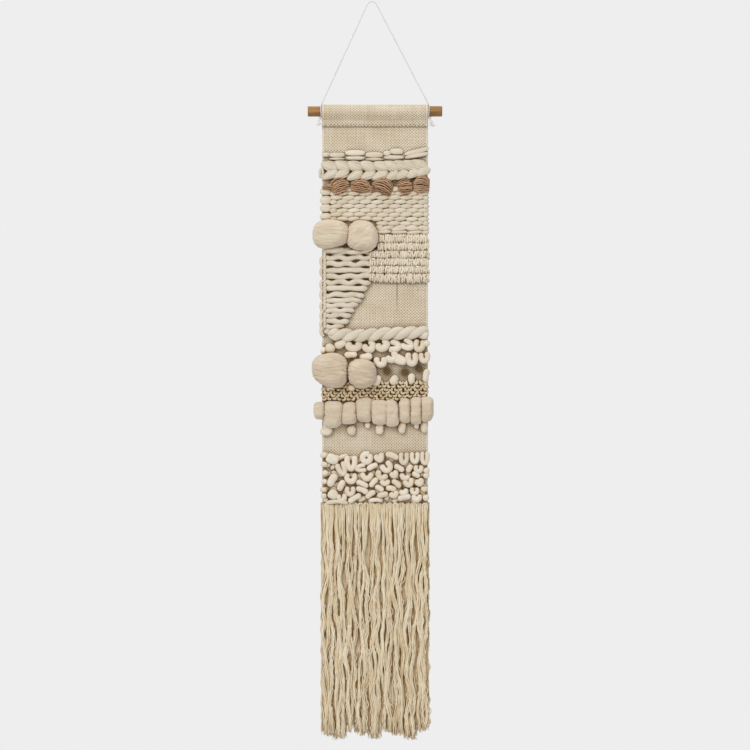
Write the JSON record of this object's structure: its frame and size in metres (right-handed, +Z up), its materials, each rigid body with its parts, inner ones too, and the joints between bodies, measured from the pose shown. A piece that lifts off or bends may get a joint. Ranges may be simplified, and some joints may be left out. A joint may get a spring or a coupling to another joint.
{
  "type": "tapestry wall hanging",
  "caption": "Narrow woven tapestry wall hanging with mixed textured bands, stuffed puffs and a long fringe, sewn round a wooden dowel on a twine cord.",
  "frame": {"origin": "underside of the hanging cord's top bend, where the hook or nail holds it", "axes": "+Z up along the drop, +X to the viewer's right along the dowel, +Y towards the wall, so the textured face looks along -Y"},
  "size_m": [0.254, 0.0486, 1.3967],
  "materials": {
    "twine": "two-ply off-white cotton twine, matt",
    "wood": "oiled teak-brown hardwood, fine straight grain",
    "twill_cloth": "fine diagonal twill in undyed sand-coloured wool and cotton",
    "stitch_thread": "sewing thread, matt",
    "roving": "undyed cream wool roving, softly hairy",
    "felt": "carded beige wool, felted on the outside",
    "rose_yarn": "bundled fine rose-tan wool strands",
    "loop_yarn": "felted off-white cord",
    "jute_yarn": "knotted jute-coloured boucle",
    "fringe_yarn": "loose cream linen-wool fringe strands with ochre shadows"
  },
  "bodies": {
    "hanger": {"hanging_cord": "twine", "left_cord_knot": "twine", "right_cord_knot": "twine"},
    "dowel": {"dowel": "wood"},
    "upper_panel": {"hem_sleeve": "twill_cloth", "hem_stitching": "stitch_thread", "upper_cloth": "twill_cloth", "thin_stitch_row": "roving", "soumak_row": "roving", "braid_row": "roving", "rose_tuft_1": "rose_yarn", "rose_tuft_2": "rose_yarn", "rose_tuft_3": "rose_yarn", "rose_tuft_4": "rose_yarn", "rose_tuft_5": "rose_yarn", "brick_weave": "roving", "upper_puff_left": "felt", "upper_puff_right": "felt", "roving_weave_upper": "roving", "knot_row_1": "roving", "knot_row_2": "roving", "knot_row_3": "roving", "knot_row_4": "roving", "knot_row_5": "roving", "knot_row_6": "roving"},
    "middle_panel": {"middle_cloth": "twill_cloth", "roving_weave_lower": "roving", "rope_row": "roving", "loop_row_1": "loop_yarn", "loop_row_2": "loop_yarn", "lower_puff_left": "felt", "lower_puff_right": "felt", "boucle_band": "jute_yarn", "peg_row_upper": "loop_yarn", "peg_row_lower": "loop_yarn", "small_puff_1": "felt", "small_puff_2": "felt", "small_puff_3": "felt", "small_puff_4": "felt", "small_puff_5": "felt", "small_puff_6": "felt", "small_puff_7": "felt", "small_puff_8": "felt", "small_puff_9": "felt"},
    "lower_panel": {"lower_cloth": "twill_cloth", "pile_row_1": "loop_yarn", "pile_row_2": "loop_yarn", "pile_row_3": "loop_yarn", "pile_row_4": "loop_yarn", "pile_row_5": "loop_yarn", "pile_row_6": "loop_yarn"},
    "fringe_1": {"fringe_bundle_1": "fringe_yarn"},
    "fringe_2": {"fringe_bundle_2": "fringe_yarn"},
    "fringe_3": {"fringe_bundle_3": "fringe_yarn"},
    "fringe_4": {"fringe_bundle_4": "fringe_yarn"},
    "fringe_5": {"fringe_bundle_5": "fringe_yarn"},
    "fringe_6": {"fringe_bundle_6": "fringe_yarn"},
    "fringe_7": {"fringe_bundle_7": "fringe_yarn"},
    "fringe_8": {"fringe_bundle_8": "fringe_yarn"},
    "fringe_9": {"fringe_bundle_9": "fringe_yarn"}
  },
  "joints": [
    {"name": "dowel_turn", "type": "hinge", "parent": "hanger", "child": "dowel", "pos_m": [0.006, 0, -0.207], "axis": [1, 0, 0], "continuous": true},
    {"name": "panel_swing", "type": "hinge", "parent": "hanger", "child": "upper_panel", "pos_m": [0.006, 0, -0.207], "axis": [1, 0, 0], "range_deg": [-90, 90]},
    {"name": "middle_fold", "type": "hinge", "parent": "upper_panel", "child": "middle_panel", "pos_m": [0.006, 0.0025, -0.585], "axis": [1, 0, 0], "range_deg": [-45, 60]},
    {"name": "lower_fold", "type": "hinge", "parent": "middle_panel", "child": "lower_panel", "pos_m": [0.006, 0.0025, -0.83], "axis": [1, 0, 0], "range_deg": [-60, 60]},
    {"name": "fringe_1_swing", "type": "hinge", "parent": "lower_panel", "child": "fringe_1", "pos_m": [-0.08289, 0.0025, -0.9462], "axis": [1, 0, 0], "range_deg": [-50, 60]},
    {"name": "fringe_2_swing", "type": "hinge", "parent": "lower_panel", "child": "fringe_2", "pos_m": [-0.06067, 0.0025, -0.9462], "axis": [1, 0, 0], "range_deg": [-50, 60]},
    {"name": "fringe_3_swing", "type": "hinge", "parent": "lower_panel", "child": "fringe_3", "pos_m": [-0.03844, 0.0025, -0.9462], "axis": [1, 0, 0], "range_deg": [-50, 60]},
    {"name": "fringe_4_swing", "type": "hinge", "parent": "lower_panel", "child": "fringe_4", "pos_m": [-0.01622, 0.0025, -0.9462], "axis": [1, 0, 0], "range_deg": [-50, 60]},
    {"name": "fringe_5_swing", "type": "hinge", "parent": "lower_panel", "child": "fringe_5", "pos_m": [0.006, 0.0025, -0.9462], "axis": [1, 0, 0], "range_deg": [-50, 60]},
    {"name": "fringe_6_swing", "type": "hinge", "parent": "lower_panel", "child": "fringe_6", "pos_m": [0.02822, 0.0025, -0.9462], "axis": [1, 0, 0], "range_deg": [-50, 60]},
    {"name": "fringe_7_swing", "type": "hinge", "parent": "lower_panel", "child": "fringe_7", "pos_m": [0.05044, 0.0025, -0.9462], "axis": [1, 0, 0], "range_deg": [-50, 60]},
    {"name": "fringe_8_swing", "type": "hinge", "parent": "lower_panel", "child": "fringe_8", "pos_m": [0.07267, 0.0025, -0.9462], "axis": [1, 0, 0], "range_deg": [-50, 60]},
    {"name": "fringe_9_swing", "type": "hinge", "parent": "lower_panel", "child": "fringe_9", "pos_m": [0.09489, 0.0025, -0.9462], "axis": [1, 0, 0], "range_deg": [-50, 60]}
  ]
}
